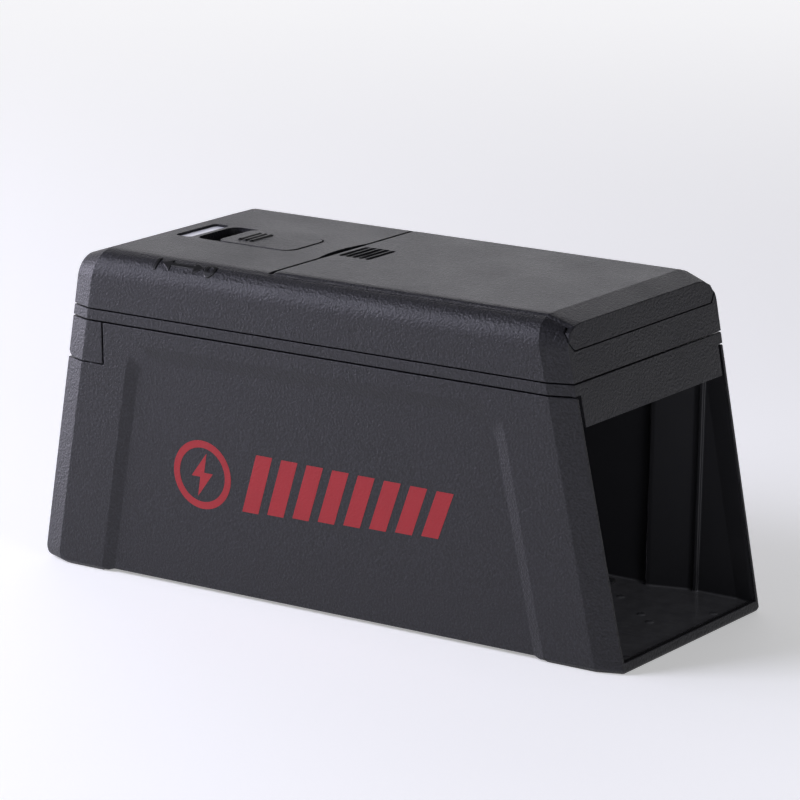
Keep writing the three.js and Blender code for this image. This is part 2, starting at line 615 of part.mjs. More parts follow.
function upperHousing() {
  const outside = shoulderedBlock(HOUSING_BOTTOM, DECK_TOP, 0);
  const inside = shoulderedBlock(HOUSING_BOTTOM - 2, DECK_TOP, WALL);
  const frontWall = cut(
    taperedBlock(HOUSING_BOTTOM, COVER_FLANGE_BOTTOM - GAP, 0, { rear: [[200, 6]] }),
    taperedBlock(HOUSING_BOTTOM - 1, COVER_FLANGE_BOTTOM + 1, 0, { rear: [[100, 8]], front: [[2.4, 7]] }),
  );
  const fitted = join(cut(outside, inside), frontWall, housingFittings()).intersect(outside);
  const slot = block(KNOB.x - SWITCH_TRAVEL - 2.6, KNOB.x + 2.6, -2.4, 2.4, 118, 130);
  const opened = cut(
    fitted, coverOpening(), slot, lipGrooves(),
    plate(pocketOutline(), POCKET.floor, DECK_TOP + 2, 6),
    plate(windowOutline(0), WINDOW.lensTop - 1.5, DECK_TOP + 2, 5),
    plate(windowOutline(1.2), 118, DECK_TOP + 2, 3),
    ...HOUSING_SCREWS.map((at) => upright(at, HOUSING_BOTTOM - 1, HOUSING_BOTTOM + 9, 1.5, 12)),
  );
  return opened.add(shoulderMarks().intersect(shoulderSkin()));
}

// a fine groove along each side of the cover, which leaves a narrow lip between them
const lipGrooves = () => bothSides(block(COVER_REAR, RAIL_END, -48.6, -48.1, 125.2, 130));

// raised marks on the near shoulder: a bar, a double arrow and a ring, which say how the switch slides
const MARKS = { bar: -73.8, arrow: -61.7, arrowReach: 9.6, ring: -48.9, y: -50.7 };

function shoulderMarks() {
  const z0 = 112;
  const z1 = 128;
  const y = MARKS.y;
  const ringAt = [MARKS.ring, y];
  const ring = cut(upright(ringAt, z0, z1, 2.5), upright(ringAt, z0 - 1, z1 + 1, 1.2));
  const bar = block(MARKS.bar - 0.7, MARKS.bar + 0.7, y - 2.4, y + 2.4, z0, z1);
  const stemReach = MARKS.arrowReach - 3;
  const stem = block(MARKS.arrow - stemReach, MARKS.arrow + stemReach, y - 0.6, y + 0.6, z0, z1);
  const heads = [-1, 1].map((way) => {
    const head = new THREE.Shape();
    const tip = MARKS.arrow + way * MARKS.arrowReach;
    head.moveTo(tip, y);
    head.lineTo(tip - way * 4.2, y - 2.2);
    head.lineTo(tip - way * 4.2, y + 2.2);
    return plate(head, z0, z1, 1);
  });
  return join(ring, bar, stem, ...heads);
}

// a thin skin just over the shoulder surface
const shoulderSkin = () => cut(
  shoulderedBlock(HOUSING_BOTTOM, DECK_TOP, -0.4),
  shoulderedBlock(HOUSING_BOTTOM - 2, DECK_TOP, 0.6),
);

// ---------------------------------------------------------------- battery cover
// half of the cover's cross-section, as [y, z], for a top that stands lower by drop
const coverEdge = (drop) => [
  [44, COVER_TOP - drop],
  [45.8, COVER_TOP - drop - 0.35],
  [46.7, COVER_TOP - drop * 0.5 - 1],
  [COVER_HALF_WIDTH, COVER_TOP - 1.7],
  [COVER_HALF_WIDTH, RAIL_TOP + GAP],
];

function batteryCover() {
  const slopeStart = (z) => frontX(z, FRONT_FACET.length);
  const across = (edge, x) => edge.flatMap(([y, z]) => [point(x(z), y, z), point(x(z), -y, z)]);
  const top = hull([
    ...across(coverEdge(REAR_EDGE.drop), () => COVER_REAR),
    ...across(coverEdge(0), () => COVER_REAR + REAR_EDGE.length),
    ...across(coverEdge(0), slopeStart),
  ]);
  const slope = hull([
    ...across(coverEdge(0), slopeStart),
    ...[-1, 1].flatMap((side) => [
      point(frontX(124.25), side * 41, 124.25),
      point(frontX(123.7), side * 45.2, 123.7),
      point(frontX(121.8), side * 46.6, 121.8),
      point(frontX(121.8, 2.2), side * 46.6, 121.8),
    ]),
  ]);
  const hooks = bothSides(join(
    block(-17, 88, -40.6, -38.4, 119.2, RAIL_TOP + 1),
    block(-17, 88, -43.6, -38.4, 119.2, 121.2),
  ));
  const underside = block(-20, 88, -37, 37, RAIL_TOP - 1, RAIL_TOP + GAP + 0.6);
  const grooves = [];
  for (let i = 0; i < GROOVES.count; i += 1) {
    const x = GROOVES.first + GROOVES.pitch * i;
    const outline = roundedRectangle(
      x - GROOVES.halfWidth, x + GROOVES.halfWidth, -GROOVES.reach, GROOVES.reach, GROOVES.halfWidth * 0.95,
    );
    grooves.push(plate(outline, COVER_TOP - GROOVES.depth, COVER_TOP + 1, 3));
  }
  return cut(join(top, slope, flangeBlock(0, 0, 2.2), hooks), underside, ...grooves);
}

// ---------------------------------------------------------------- power switch and window
function switchSlider() {
  const side = POCKET.halfWidth - GAP;
  const outline = roundedRectangle(SLIDER.rear, SLIDER.front, -side, side, 4.2, 5);
  const slide = plate(outline, POCKET.floor + GAP, SLIDER.top, 6);
  const ridges = [];
  const z = KNOB.top - KNOB.radius;
  for (let i = 0; i < KNOB.ridges; i += 1) {
    const x = KNOB.x + (i - (KNOB.ridges - 1) / 2) * KNOB.pitch;
    ridges.push(rod(point(x, -KNOB.reach, z), point(x, KNOB.reach, z), KNOB.radius, KNOB.radius, 16));
    for (const way of [-1, 1]) {
      const end = way * KNOB.reach;
      ridges.push(rod(point(x, end, z), point(x, end + way * 0.8, z), KNOB.radius, KNOB.radius * 0.5, 16));
    }
  }
  const stem = block(KNOB.x - 2, KNOB.x + 2, -1.9, 1.9, 117.4, POCKET.floor + 1);
  const clip = block(KNOB.x - 2, KNOB.x + 2, -4.4, 4.4, 119.2, POCKET.floor - POCKET.pad - GAP);
  return join(slide, ...ridges, stem, clip);
}

const SWITCH_BODY = { halfLength: 11, halfWidth: 4, bottom: BOARD.top + 0.3, top: 115 };

function switchBody() {
  const middle = KNOB.x - SWITCH_TRAVEL / 2;
  const can = block(
    middle - SWITCH_BODY.halfLength, middle + SWITCH_BODY.halfLength,
    -SWITCH_BODY.halfWidth, SWITCH_BODY.halfWidth, SWITCH_BODY.bottom, SWITCH_BODY.top,
  );
  const way = block(middle - 8, middle + 8, -1.8, 1.8, SWITCH_BODY.top - 2, SWITCH_BODY.top + 1);
  return cut(can, way);
}

const switchLever = () => block(KNOB.x - 1.5, KNOB.x + 1.5, -1.4, 1.4, SWITCH_BODY.top - 1.6, 117.1);

function windowLens() {
  const cap = plate(windowOutline(0.3), WINDOW.lensTop - 1.2, WINDOW.lensTop, 5);
  const light = plate(windowOutline(1.5), WINDOW.lensTop - 3, WINDOW.lensTop - 1, 3);
  return join(cap, light);
}

// ---------------------------------------------------------------- circuit
const BOARD_SCREWS = [[-95, -33], [-38, 33]];
const SPRING = { rear: -93.8, front: -90.8, y: -45.2 };

function circuitBoard() {
  const outline = roundedRectangle(BOARD.rear, BOARD.front, -BOARD.halfWidth, BOARD.halfWidth, 2);
  const holes = BOARD_SCREWS.map((at) => upright(at, BOARD.bottom - 1, BOARD.top + 1, 1.6, 12));
  return cut(plate(outline, BOARD.bottom, BOARD.top, 3), ...holes);
}

const boardScrew = ([x, y]) => panHeadScrew(point(x, y, BOARD.top + 0.1), point(0, 0, 1), 2.6, 1.6, 1.05, 8);

function lightEmitter(y) {
  const x = (WINDOW.rear + WINDOW.front) / 2;
  const z = BOARD.top + GAP;
  const profile = [
    [0, z], [2.9, z], [2.9, z + 1], [2.5, z + 1],
    [2.5, z + 6.1], [2.17, z + 7.35], [1.25, z + 8.27], [0, z + 8.6],
  ].map(([r, height]) => new THREE.Vector2(r, height));
  const bulb = new THREE.LatheGeometry(profile, 16);
  bulb.rotateX(Math.PI / 2);
  return solid(bulb.translate(x, y, 0));
}

function transformer() {
  const z = BOARD.top + 0.3;
  const window = block(-52.5, -39.5, -29, -25.5, z + 2.5, z + 12);
  const core = cut(block(-56, -36, -28, -8, z, z + 9), window, window.translate([0, 18.5, 0]));
  const winding = rod(point(-46, -18, z + 8), point(-46, -18, z + 11), 7.2, 6.6, 24);
  return core.add(winding);
}

const capacitor = () => join(
  rod(point(-80, 24, BOARD.top + 6.6), point(-56, 24, BOARD.top + 6.6), 6, 6, 24),
  rod(point(-56.4, 24, BOARD.top + 6.6), point(-54.8, 24, BOARD.top + 6.6), 5.4, 5.4, 24),
);

const controllerChip = () => block(-84, -74, -27, -20, BOARD.top + 0.3, BOARD.top + 2.2);

// brass spring that comes down through the tray and meets the riser when the unit is shut
function springContact() {
  const strip = block(SPRING.rear, SPRING.front, SPRING.y, SPRING.y + 0.8, RISER.top + 0.9, 110.6);
  const tab = block(SPRING.rear, SPRING.front, SPRING.y, -36.8 - 0.6, 109.8 + 0.1, 110.6);
  const toe = block(SPRING.rear, SPRING.front, SPRING.y, SPRING.y + 3, RISER.top + 0.4, RISER.top + 1.2);
  return join(strip, tab, toe);
}

// ---------------------------------------------------------------- batteries
function cell(index) {
  const row = index < 2 ? -1 : 1;
  const place = index % 2;
  const nub = 1.8;
  const length = CELL.length - nub;
  const profile = [
    [0, 0], [CELL.radius - 0.9, 0], [CELL.radius, 0.9],
    [CELL.radius, length - 0.9], [CELL.radius - 0.9, length],
    [3.1, length], [3.1, length + nub - 0.3], [2.8, length + nub], [0, length + nub],
  ].map(([r, y]) => new THREE.Vector2(r, y));
  const body = new THREE.LatheGeometry(profile, 28);
  body.rotateZ(row > 0 ? Math.PI / 2 : -Math.PI / 2);
  const start = CELL.first + place * CELL.pitch + (row > 0 ? CELL.length : 0);
  return solid(body.translate(start, row * CELL.y, CELL.z));
}

class SpringLine extends THREE.Curve {
  constructor(turns, radius, taper, pitch) {
    super();
    Object.assign(this, { turns, radius, taper, pitch });
  }

  getPoint(t, target = new THREE.Vector3()) {
    const angle = t * this.turns * Math.PI * 2;
    const radius = this.radius - this.taper * t;
    return target.set(this.pitch * this.turns * t, radius * Math.cos(angle), radius * Math.sin(angle));
  }
}

function coneSpring(x, y, way) {
  const wire = new THREE.Shape().absarc(0, 0, 0.45, 0, Math.PI * 2);
  const extrudePath = new SpringLine(3, 6, 2.4, 1.75);
  const settings = { steps: 36, extrudePath, bevelEnabled: false, curveSegments: 3 };
  const coil = new THREE.ExtrudeGeometry(wire, settings);
  if (way < 0) coil.rotateZ(Math.PI);
  return solid(coil.translate(x, y, CELL.z));
}

const REAR_END = CELL.first - GAP;
const FRONT_END = CELL.first + CELL.pitch + CELL.length + GAP;
const TERMINAL = { halfWidth: 8, bottom: 93.5, top: 113, thickness: 0.8 };

function rearTerminal(side, x) {
  const { halfWidth: half, bottom, top, thickness } = TERMINAL;
  return block(x, x + thickness, side * CELL.y - half, side * CELL.y + half, bottom, top);
}

// ---------------------------------------------------------------- assembly
const finishes = {
  shell: { color: 0x3b3a42, roughness: 0.55, metalness: 0 },
  inner: { color: 0x232226, roughness: 0.5, metalness: 0 },
  steel: { color: 0xb4b6b9, roughness: 0.35, metalness: 1 },
  brass: { color: 0xc9a659, roughness: 0.35, metalness: 1 },
  lens: { color: 0xd6d8dc, roughness: 0.25, metalness: 0 },
  board: { color: 0x1f5a38, roughness: 0.6, metalness: 0 },
  dark: { color: 0x141416, roughness: 0.5, metalness: 0 },
  green: { color: 0x3cb45a, roughness: 0.2, metalness: 0 },
  red: { color: 0xc23a34, roughness: 0.2, metalness: 0 },
  cell: { color: 0x4a4b50, roughness: 0.4, metalness: 0.4 },
  copper: { color: 0x9a6a3c, roughness: 0.5, metalness: 0.6 },
};

const trap = new THREE.Group();

function add(name, body, finish) {
  const { vertProperties, triVerts } = body.getMesh();
  const geometry = new THREE.BufferGeometry();
  geometry.setAttribute('position', new THREE.BufferAttribute(Float32Array.from(vertProperties), 3));
  geometry.setIndex(new THREE.BufferAttribute(Uint32Array.from(triVerts), 1));
  geometry.computeVertexNormals();
  const mesh = new THREE.Mesh(geometry, new THREE.MeshStandardMaterial(finishes[finish]));
  mesh.name = name;
  trap.add(mesh);
}

add('body_shell', tub(), 'shell');
for (const [name, span] of Object.entries(PLATE_SPANS)) add(name, killPlate(span), 'steel');
plateScrewPlaces().forEach((at, i) => add(`plate_screw_${i + 1}`, plateScrew(at), 'steel'));
add('contact_riser_near', contactRiser(), 'brass');
add('contact_riser_far', mirrorY(contactRiser()), 'brass');
add('bait_cup', baitCup(), 'dark');
add('hinge_pin_near', hingePin(), 'steel');
add('hinge_pin_far', mirrorY(hingePin()), 'steel');

add('hinge_leaf', hingeLeaf(), 'shell');
add('hinge_leaf_screw_near', leafScrew(-1), 'steel');
add('hinge_leaf_screw_far', leafScrew(1), 'steel');
add('middle_frame', middleFrame(), 'inner');
add('upper_housing', upperHousing(), 'shell');
HOUSING_SCREWS.forEach(([x, y], i) => add(
  `housing_screw_${i + 1}`,
  panHeadScrew(point(x, y, CEILING + 2.3), point(0, 0, -1), 2.6, 1.6, 1.15, 18),
  'steel',
));
add('battery_cover', batteryCover(), 'shell');
add('switch_slider', switchSlider(), 'shell');
add('switch_lever', switchLever(), 'dark');
add('switch_body', switchBody(), 'steel');
add('window_lens', windowLens(), 'lens');

add('circuit_board', circuitBoard(), 'board');
BOARD_SCREWS.forEach((place, i) => add(`board_screw_${i + 1}`, boardScrew(place), 'steel'));
add('kill_light', lightEmitter(-6), 'green');
add('battery_light', lightEmitter(6), 'red');
add('hv_transformer', transformer(), 'copper');
add('hv_capacitor', capacitor(), 'dark');
add('controller_chip', controllerChip(), 'dark');
add('spring_contact_near', springContact(), 'brass');
add('spring_contact_far', mirrorY(springContact()), 'brass');

for (let i = 0; i < 4; i += 1) add(`battery_cell_${i + 1}`, cell(i), 'cell');
add('battery_spring_near', coneSpring(REAR_END - 6.1, -CELL.y, 1), 'steel');
add('battery_spring_far', coneSpring(FRONT_END + 6.1, CELL.y, -1), 'steel');
add('battery_terminal_near', rearTerminal(-1, REAR_END - 6.9 - TERMINAL.thickness), 'steel');
add('battery_terminal_far', rearTerminal(1, REAR_END - 0.2 - TERMINAL.thickness), 'steel');
add('battery_bridge_plate', block(FRONT_END + 7, FRONT_END + 7.8, -24, 24, 94, 112), 'steel');

export default trap;
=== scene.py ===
# Looks of the electronic rat trap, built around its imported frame. Metres, +Z up.
import math

import bmesh
import bpy
from mathutils import Matrix, Vector


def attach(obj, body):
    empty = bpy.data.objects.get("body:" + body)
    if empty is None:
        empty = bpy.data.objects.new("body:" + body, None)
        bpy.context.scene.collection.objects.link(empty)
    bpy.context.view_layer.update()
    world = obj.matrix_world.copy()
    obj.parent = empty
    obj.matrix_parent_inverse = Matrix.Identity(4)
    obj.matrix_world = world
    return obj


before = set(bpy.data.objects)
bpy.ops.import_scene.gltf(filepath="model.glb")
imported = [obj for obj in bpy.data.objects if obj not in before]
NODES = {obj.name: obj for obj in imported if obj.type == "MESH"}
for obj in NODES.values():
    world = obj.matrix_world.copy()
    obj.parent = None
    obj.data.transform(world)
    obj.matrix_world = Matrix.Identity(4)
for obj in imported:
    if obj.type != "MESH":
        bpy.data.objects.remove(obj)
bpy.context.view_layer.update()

MM = 0.001

# the part's outer form, in millimetres at the floor, and how far each face leans per mm of height
BASE_HALF_LENGTH = 132.6
BASE_HALF_WIDTH = 52.2
SIDE_FLARE = 0.0257
REAR_TAPER = 0.18
FRONT_TAPER = 0.202
REAR_FACET = {"length": 9.7, "depth": 4.1}
FRONT_FACET = {"length": 9.8, "depth": 3.6, "tunnel_depth": 2.4}     # the tunnel's mask takes the last
PANEL_DEPTH = 1.5        # of the sunken side panels
SLIDER_TOP = 126.9       # of the power switch, under its ridges

# the raised marks on the near shoulder, in millimetres
MARKS_Y, MARKS_LOWEST = -50.7, 112.0
BAR_MARK = {"x": -73.8, "half_width": 0.7, "half_length": 2.4}
ARROW_MARK = {"x": -61.7, "half_length": 6.6, "half_width": 0.6, "head": 5.4, "head_half": 2.2}
ARROW_SLOPE = 0.524      # how much a head narrows per mm towards its tip
RING_MARK = {"x": -48.9, "inner": 1.2, "outer": 2.5}

# the red print on the near side, in millimetres
INK = {"gap": 0.012, "thickness": 0.035}
RING = {"x": -52.5, "z": 46.0, "outer": 13.4, "inner": 10.6, "turns": 64}
BARS = {
    "count": 8, "first": -34.0, "pitch": 11.6, "width": 7.4, "slant": 7.0,
    "bottom": 34.6, "top": 57.6, "rise": 0.55, "fall": 0.15,        # each bar is shorter than the last
}


# ---------------------------------------------------------------- camera
AIM = Vector((2.13, 0, 72.4)) * MM
DISTANCE = 1.5704
AZIMUTH, ELEVATION, ROLL = -55.582, 14.04, 0.256        # degrees
LENS, SENSOR = 186.855, 36                              # millimetres


def add_camera():
    """A long lens, a little above the object, towards its open end and near side."""
    azimuth, elevation, roll = (math.radians(angle) for angle in (AZIMUTH, ELEVATION, ROLL))
    back = Vector((
        math.cos(elevation) * math.cos(azimuth),
        math.cos(elevation) * math.sin(azimuth),
        math.sin(elevation),
    ))
    turn = back.to_track_quat("Z", "Y").to_matrix() @ Matrix.Rotation(roll, 3, "Z")
    data = bpy.data.cameras.new("camera")
    data.lens = LENS
    data.sensor_width = SENSOR
    camera = bpy.data.objects.new("camera", data)
    bpy.context.scene.collection.objects.link(camera)
    camera.matrix_world = Matrix.Translation(AIM + DISTANCE * back) @ turn.to_4x4()
    bpy.context.scene.camera = camera


# ---------------------------------------------------------------- studio
def area_light(name, place, aim, size, radiance, colour):
    """A soft rectangular light. Its power follows from how bright its face should look."""
    data = bpy.data.lights.new(name, "AREA")
    data.shape = "RECTANGLE"
    data.size, data.size_y = size
    data.energy = radiance * math.pi * size[0] * size[1]
    data.color = colour
    lamp = bpy.data.objects.new(name, data)
    bpy.context.scene.collection.objects.link(lamp)
    toward = Vector(aim) - Vector(place)
    lamp.rotation_euler = toward.to_track_quat("-Z", "Y").to_euler()
    lamp.location = place


def add_world():
    """Dim surroundings with one broad bright patch, low behind the object."""
    world = bpy.data.worlds.new("studio")
    bpy.context.scene.world = world
    world.use_nodes = True
    tree = world.node_tree
    background = tree.nodes["Background"]
    direction = tree.nodes.new("ShaderNodeTexCoord")
    lean = tree.nodes.new("ShaderNodeVectorMath")
    lean.operation = "DOT_PRODUCT"
    lean.inputs[1].default_value = Vector((-0.58, 0.80, 0.12)).normalized()
    fade = tree.nodes.new("ShaderNodeMapRange")
    fade.interpolation_type = "SMOOTHSTEP"
    for key, number in (("From Min", 0.74), ("From Max", 0.98), ("To Min", 0.10), ("To Max", 1.42)):
        fade.inputs[key].default_value = number
    tree.links.new(direction.outputs["Generated"], lean.inputs[0])
    tree.links.new(lean.outputs["Value"], fade.inputs["Value"])
    tree.links.new(fade.outputs["Result"], background.inputs["Strength"])
    background.inputs["Color"].default_value = (0.965, 0.955, 1.0, 1)


def add_studio():
    add_world()
    middle = (0, 0, 0.06)
    mouth = (0.1, 0, 0.03)
    area_light("key", place=(-0.74, -0.76, 0.80), aim=middle, size=(0.62, 0.62),
               radiance=10.0, colour=(0.84, 0.84, 1.0))
    area_light("rear", place=(-1.20, -0.22, 0.22), aim=middle, size=(0.7, 0.5),
               radiance=8.6, colour=(0.85, 0.82, 1.0))
    area_light("mouth", place=(1.10, -0.45, 0.42), aim=mouth, size=(0.35, 0.35),
               radiance=7.0, colour=(0.94, 0.95, 1.0))
    bpy.context.scene.view_settings.view_transform = "Standard"


def add_floor():
    """A wide plain sheet just below the part, which becomes the backdrop far away."""
    bm = bmesh.new()
    bmesh.ops.create_grid(bm, x_segments=8, y_segments=8, size=9)
    mesh = bpy.data.meshes.new("floor")
    bm.to_mesh(mesh)
    bm.free()
    floor = bpy.data.objects.new("floor", mesh)
    bpy.context.scene.collection.objects.link(floor)
    floor.location.z = -0.02 * MM
    mesh.materials.append(floor_material())


# ---------------------------------------------------------------- material helpers
class Shader:
    """A new material with a few short calls for its nodes."""

    def __init__(self, name):
        self.material = bpy.data.materials.new(name)
        self.material.use_nodes = True
        self.tree = self.material.node_tree
        self.surface = self.tree.nodes["Principled BSDF"]
        self.place = self.node("TexCoord").outputs["Object"]

    def node(self, kind, **settings):
        made = self.tree.nodes.new("ShaderNode" + kind)
        for key, value in settings.items():
            setattr(made, key, value)
        return made

    def feed(self, socket, value):
        if isinstance(value, bpy.types.NodeSocket):
            self.tree.links.new(value, socket)
        elif value is not None:
            socket.default_value = value

    def set(self, **values):
        """Sets the surface's own sockets; an underscore in a name stands for a space."""
        for key, value in values.items():
            self.feed(self.surface.inputs[key.replace("_", " ")], value)

    def math(self, operation, a, b=0.0, c=None, clamp=False):
        made = self.node("Math", operation=operation, use_clamp=clamp)
        for i, value in enumerate((a, b, c)):
            self.feed(made.inputs[i], value)
        return made.outputs[0]

    def times(self, a, b):
        return self.math("MULTIPLY", a, b)

    def minus(self, a, b):
        return self.math("SUBTRACT", a, b)

    def away(self, value, middle):
        return self.math("ABSOLUTE", self.minus(value, middle))

    def within(self, value, most):
        """1 where value is less than most, 0 elsewhere."""
        return self.math("LESS_THAN", value, most)

    def along(self, axis):
        """The place along one axis of the object."""
        split = self.node("SeparateXYZ")
        self.feed(split.inputs[0], self.place)
        return split.outputs[axis]

    def stretched(self, scale):
        made = self.node("Mapping")
        self.feed(made.inputs["Vector"], self.place)
        made.inputs["Scale"].default_value = scale
        return made.outputs[0]

    def noise(self, size, detail=2.0, rough=0.5, vector=None):
        """Noise between 0 and 1 whose blobs are about size metres wide."""
        made = self.node("TexNoise")
        self.feed(made.inputs["Vector"], vector or self.place)
        made.inputs["Scale"].default_value = 1 / size
        made.inputs["Detail"].default_value = detail
        made.inputs["Roughness"].default_value = rough
        return made.outputs["Fac"]

    def cells(self, size, feature="F1"):
        """Distances inside cells about size metres wide."""
        made = self.node("TexVoronoi", feature=feature)
        self.feed(made.inputs["Vector"], self.place)
        made.inputs["Scale"].default_value = 1 / size
        return made.outputs["Distance"]

    def span(self, value, low, high, to_low=0.0, to_high=1.0, smooth=True):
        """Maps low to high onto to_low to to_high, and holds the end values outside."""
        made = self.node("MapRange", interpolation_type="SMOOTHSTEP" if smooth else "LINEAR")
        self.feed(made.inputs["Value"], value)
        made.inputs["From Min"].default_value = low
        made.inputs["From Max"].default_value = high
        made.inputs["To Min"].default_value = to_low
        made.inputs["To Max"].default_value = to_high
        return made.outputs["Result"]

    def mix(self, amount, a, b, kind="RGBA"):
        """From a to b as amount goes from 0 to 1: colours, or numbers if kind is FLOAT."""
        made = self.node("Mix", data_type=kind)
        self.feed(made.inputs["Factor"], amount)
        self.feed(made.inputs["A"], (*a, 1) if isinstance(a, tuple) else a)
        self.feed(made.inputs["B"], (*b, 1) if isinstance(b, tuple) else b)
        return made.outputs["Result"]

    def bump(self, height, depth, strength=1.0, under=None):
        made = self.node("Bump")
        self.feed(made.inputs["Height"], height)
        made.inputs["Distance"].default_value = depth
        made.inputs["Strength"].default_value = strength
        self.feed(made.inputs["Normal"], under)
        return made.outputs["Normal"]

    def edges(self, radius):
        """1 along convex and concave edges narrower than radius, 0 on flat faces."""
        rounded = self.node("Bevel", samples=4)
        rounded.inputs["Radius"].default_value = radius
        flat = self.node("NewGeometry").outputs["Normal"]
        along = self.node("VectorMath", operation="DOT_PRODUCT")
        self.feed(along.inputs[0], rounded.outputs[0])
        self.feed(along.inputs[1], flat)
        return self.span(along.outputs["Value"], 0.995, 0.90)


def shade(colour, factor):
    """The same colour, darker or lighter."""
    return tuple(channel * factor for channel in colour)


# ---------------------------------------------------------------- materials
GRAPHITE = (0.0072, 0.0070, 0.0092)
# painted light: the smooth insides are coloured lighter than the outer plastic, standing in for light
# that reaches in
INSIDE_PAINTED_LIGHTER = (0.0300, 0.0300, 0.0335)
BLACK = (0.0030, 0.0030, 0.0035)


def floor_material():
    """Pale matte paper that glows a little more with distance."""
    look = Shader("floor_paper")
    tone = look.noise(0.35, 3)
    far = look.node("VectorMath", operation="LENGTH")
    look.feed(far.inputs[0], look.place)
    look.set(
        Base_Color=look.mix(tone, (0.86, 0.86, 0.86), (0.89, 0.89, 0.89)),
        Roughness=0.85,
        Normal=look.bump(look.noise(0.0012, 3), 0.05 * MM),
        Emission_Color=(1, 1, 1, 1),
        Emission_Strength=look.span(far.outputs["Value"], 0.3, 1.8, 0.36, 0.70),
    )
    return look.material


def grained(look, smooth_mask=None, grain=0.26 * MM):
    """Mould grain: fine pits over a soft long wave, nearly gone where smooth_mask is 1."""
    fine = look.noise(0.85 * MM, 3, 0.6)
    pits = look.cells(1.05 * MM)
    height = look.math("ADD", fine, look.times(pits, 0.5))
    if smooth_mask is not None:
        height = look.times(height, look.minus(1.0, look.times(smooth_mask, 0.94)))
    wave = look.bump(look.noise(9 * MM, 2), 0.05 * MM, 0.5)
    return look.bump(height, grain, 1.0, wave), fine


def moulded(name, colour, roughness, find_smooth=None, smooth_colour=None, smooth_roughness=0.2):
    """Mottled, grained plastic with paler worn edges and faint rub marks.

    find_smooth makes a mask of the places that are smooth, with a colour and a roughness of their own.
    """
    look = Shader(name)
    mask = find_smooth(look) if find_smooth else None
    normal, fine = grained(look, mask)
    broad = look.noise(34 * MM, 4, 0.6)
    base = look.mix(look.span(broad, 0.3, 0.7), shade(colour, 0.90), shade(colour, 1.10))
    base = look.mix(look.span(fine, 0.40, 0.70), base, shade(colour, 2.5))
    worn = look.times(look.edges(0.5 * MM), look.span(look.noise(5 * MM, 3), 0.3, 0.8))
    base = look.mix(look.times(worn, 0.45), base, shade(colour, 2.3))
    uneven = look.span(broad, 0.2, 0.8, roughness - 0.03, roughness + 0.05)
    uneven = look.math("ADD", uneven, look.span(fine, 0.3, 0.8, -0.03, 0.06))
    scuffs = look.noise(1.0, 3, 0.5, look.stretched((900, 70, 240)))
    uneven = look.minus(uneven, look.times(look.span(scuffs, 0.68, 0.80), 0.05))
    if mask is not None:
        base = look.mix(mask, base, smooth_colour(look) if callable(smooth_colour) else smooth_colour)
        polish = look.span(look.noise(14 * MM, 3), 0.2, 0.8, smooth_roughness, smooth_roughness + 0.10)
        uneven = look.mix(mask, uneven, polish, "FLOAT")
    look.set(Base_Color=base, Roughness=uneven, Normal=normal, IOR=1.50, Specular_IOR_Level=0.40)
    return look.material


def leaning(look, at_floor, lean):
    """Where a leaning face stands at each height, at_floor being in millimetres."""
    return look.math("MULTIPLY_ADD", look.along("Z"), lean, at_floor * MM)


def depth_behind_rear(look):
    """How far inside the leaning plane of the closed end."""
    return look.minus(look.along("X"), leaning(look, -BASE_HALF_LENGTH, REAR_TAPER))


def depth_behind_mouth(look):
    """How far inside the leaning plane of the mouth."""
    return look.minus(leaning(look, BASE_HALF_LENGTH, -FRONT_TAPER), look.along("X"))


def depth_behind_side(look, front_cut=FRONT_FACET["depth"]):
    """How far inside the two leaning sides, less what the corner facets take off at both ends."""
    flank = leaning(look, BASE_HALF_WIDTH, SIDE_FLARE)
    side = look.minus(flank, look.math("ABSOLUTE", look.along("Y")))
    facets = (
        (depth_behind_rear(look), REAR_FACET["length"], REAR_FACET["depth"]),
        (depth_behind_mouth(look), FRONT_FACET["length"], front_cut),
    )
    for depth, length, cut in facets:
        side = look.minus(side, look.span(depth, 0.0, length * MM, cut * MM, 0.0, smooth=False))
    return side


def tunnel_mask(look):
    """1 on the smooth inside of the tub: behind the outer skin and above the underside."""
    side = depth_behind_side(look, FRONT_FACET["tunnel_depth"])
    behind_side = look.span(side, 2.0 * MM, 2.3 * MM)
    behind_mouth = look.span(depth_behind_mouth(look), 0.4 * MM, 0.8 * MM)
    behind_rear = look.span(depth_behind_rear(look), 1.9 * MM, 2.2 * MM)
    above = look.span(look.along("Z"), 1.9 * MM, 2.2 * MM)
    return look.times(look.times(behind_side, behind_mouth), look.times(behind_rear, above))


def tunnel_painted_light(look):
    """Smooth walls and a floor with painted light from the mouth: the walls take the inside colour,
    lighter than the outer plastic, and the floor is painted paler still in blotches, with fine scratches.
    """
    # painted light: pale blotches on the tunnel floor stand in for light and reflections coming in at the
    # mouth
    painted_light_blotches = look.span(look.noise(7 * MM, 4, 0.65), 0.25, 0.75, 0.55, 1.0)
    scratches = look.span(look.noise(1.0, 4, 0.6, look.stretched((110, 1400, 1400))), 0.60, 0.74)
    floor = look.mix(painted_light_blotches, (0.07, 0.07, 0.075), (0.16, 0.16, 0.17))
    floor = look.mix(look.times(scratches, 0.5), floor, (0.26, 0.26, 0.27))
    return look.mix(look.span(look.along("Z"), 3.6 * MM, 2.8 * MM), INSIDE_PAINTED_LIGHTER, floor)


def tray_mask(look):
    """1 on the smooth tray of the middle frame, inside its grained outer band."""
    behind_side = look.span(depth_behind_side(look), 1.2 * MM, 2.0 * MM)
    return look.times(behind_side, look.span(depth_behind_mouth(look), 0.4 * MM, 0.8 * MM))


